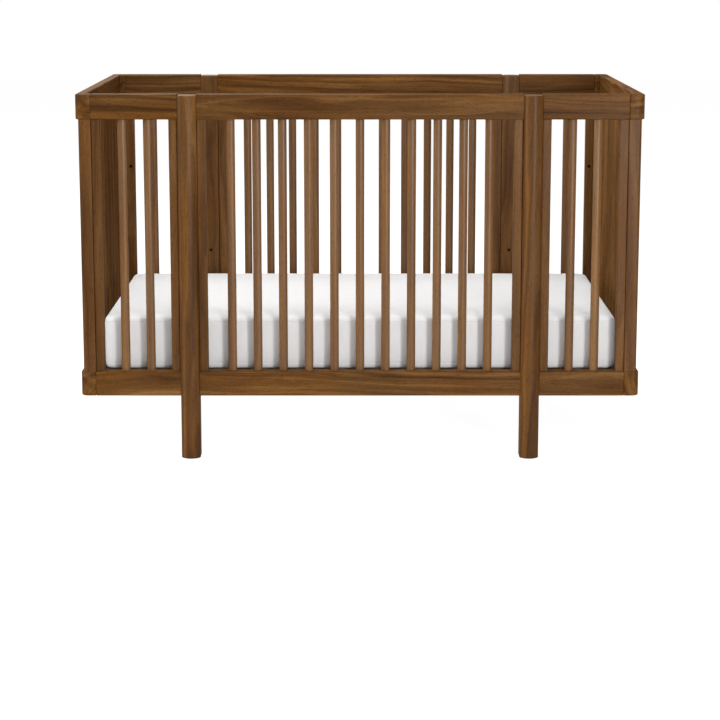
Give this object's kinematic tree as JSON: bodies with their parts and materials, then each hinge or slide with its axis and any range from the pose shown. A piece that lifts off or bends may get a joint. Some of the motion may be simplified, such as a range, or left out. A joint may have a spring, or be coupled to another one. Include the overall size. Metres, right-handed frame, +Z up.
{
  "type": "baby crib",
  "caption": "Slatted wooden baby crib on D-shaped legs, with a steel mattress support that sets at several heights and a lift-out mattress.",
  "frame": {"origin": "on the floor, under the centre of the crib", "axes": "+X to the right along the length, +Z up; the front side faces -Y"},
  "size_m": [1.406, 0.815, 0.921],
  "materials": {
    "stained_wood": "walnut-stained, satin lacquer",
    "black_steel": "black powder coat",
    "zinc_bolts": "black zinc plated",
    "threaded_inserts": "dark plated",
    "glide_plastic": "dark brown moulded",
    "mattress_cover": "white woven cover"
  },
  "bodies": {
    "crib_frame": {"bracket_bolts": "zinc_bolts", "corner_bolts": "zinc_bolts", "foot_glides": "glide_plastic", "front_centre_bottom_rail": "stained_wood", "front_centre_left_stile": "stained_wood", "front_centre_right_stile": "stained_wood", "front_centre_slats": "stained_wood", "front_centre_top_rail": "stained_wood", "front_left_bottom_rail": "stained_wood", "front_left_corner_stile": "stained_wood", "front_left_leg": "stained_wood", "front_left_leg_stile": "stained_wood", "front_left_slats": "stained_wood", "front_left_top_rail": "stained_wood", "front_right_bottom_rail": "stained_wood", "front_right_corner_stile": "stained_wood", "front_right_leg": "stained_wood", "front_right_leg_stile": "stained_wood", "front_right_slats": "stained_wood", "front_right_top_rail": "stained_wood", "left_end_bottom_rail": "stained_wood", "left_end_front_post": "stained_wood", "left_end_rear_post": "stained_wood", "left_end_slats": "stained_wood", "left_end_top_rail": "stained_wood", "leg_bolts": "zinc_bolts", "panel_inserts": "threaded_inserts", "rear_centre_bottom_rail": "stained_wood", "rear_centre_left_stile": "stained_wood", "rear_centre_right_stile": "stained_wood", "rear_centre_slats": "stained_wood", "rear_centre_top_rail": "stained_wood", "rear_left_bottom_rail": "stained_wood", "rear_left_corner_stile": "stained_wood", "rear_left_leg": "stained_wood", "rear_left_leg_stile": "stained_wood", "rear_left_slats": "stained_wood", "rear_left_top_rail": "stained_wood", "rear_right_bottom_rail": "stained_wood", "rear_right_corner_stile": "stained_wood", "rear_right_leg": "stained_wood", "rear_right_leg_stile": "stained_wood", "rear_right_slats": "stained_wood", "rear_right_top_rail": "stained_wood", "right_end_bottom_rail": "stained_wood", "right_end_front_post": "stained_wood", "right_end_rear_post": "stained_wood", "right_end_slats": "stained_wood", "right_end_top_rail": "stained_wood", "support_brackets": "black_steel", "support_inserts": "threaded_inserts"},
    "mattress_support": {"support_centre_bar": "black_steel", "support_front_angle": "black_steel", "support_left_angle": "black_steel", "support_rear_angle": "black_steel", "support_right_angle": "black_steel", "support_slats": "black_steel"},
    "mattress": {"mattress": "mattress_cover"}
  },
  "joints": [
    {"name": "support_height", "type": "slide", "parent": "crib_frame", "child": "mattress_support", "axis": [0, 0, 1], "range_m": [0, 0.467]},
    {"name": "mattress_lift", "type": "slide", "parent": "mattress_support", "child": "mattress", "axis": [0, 0, 1], "range_m": [0, 0.72]}
  ]
}
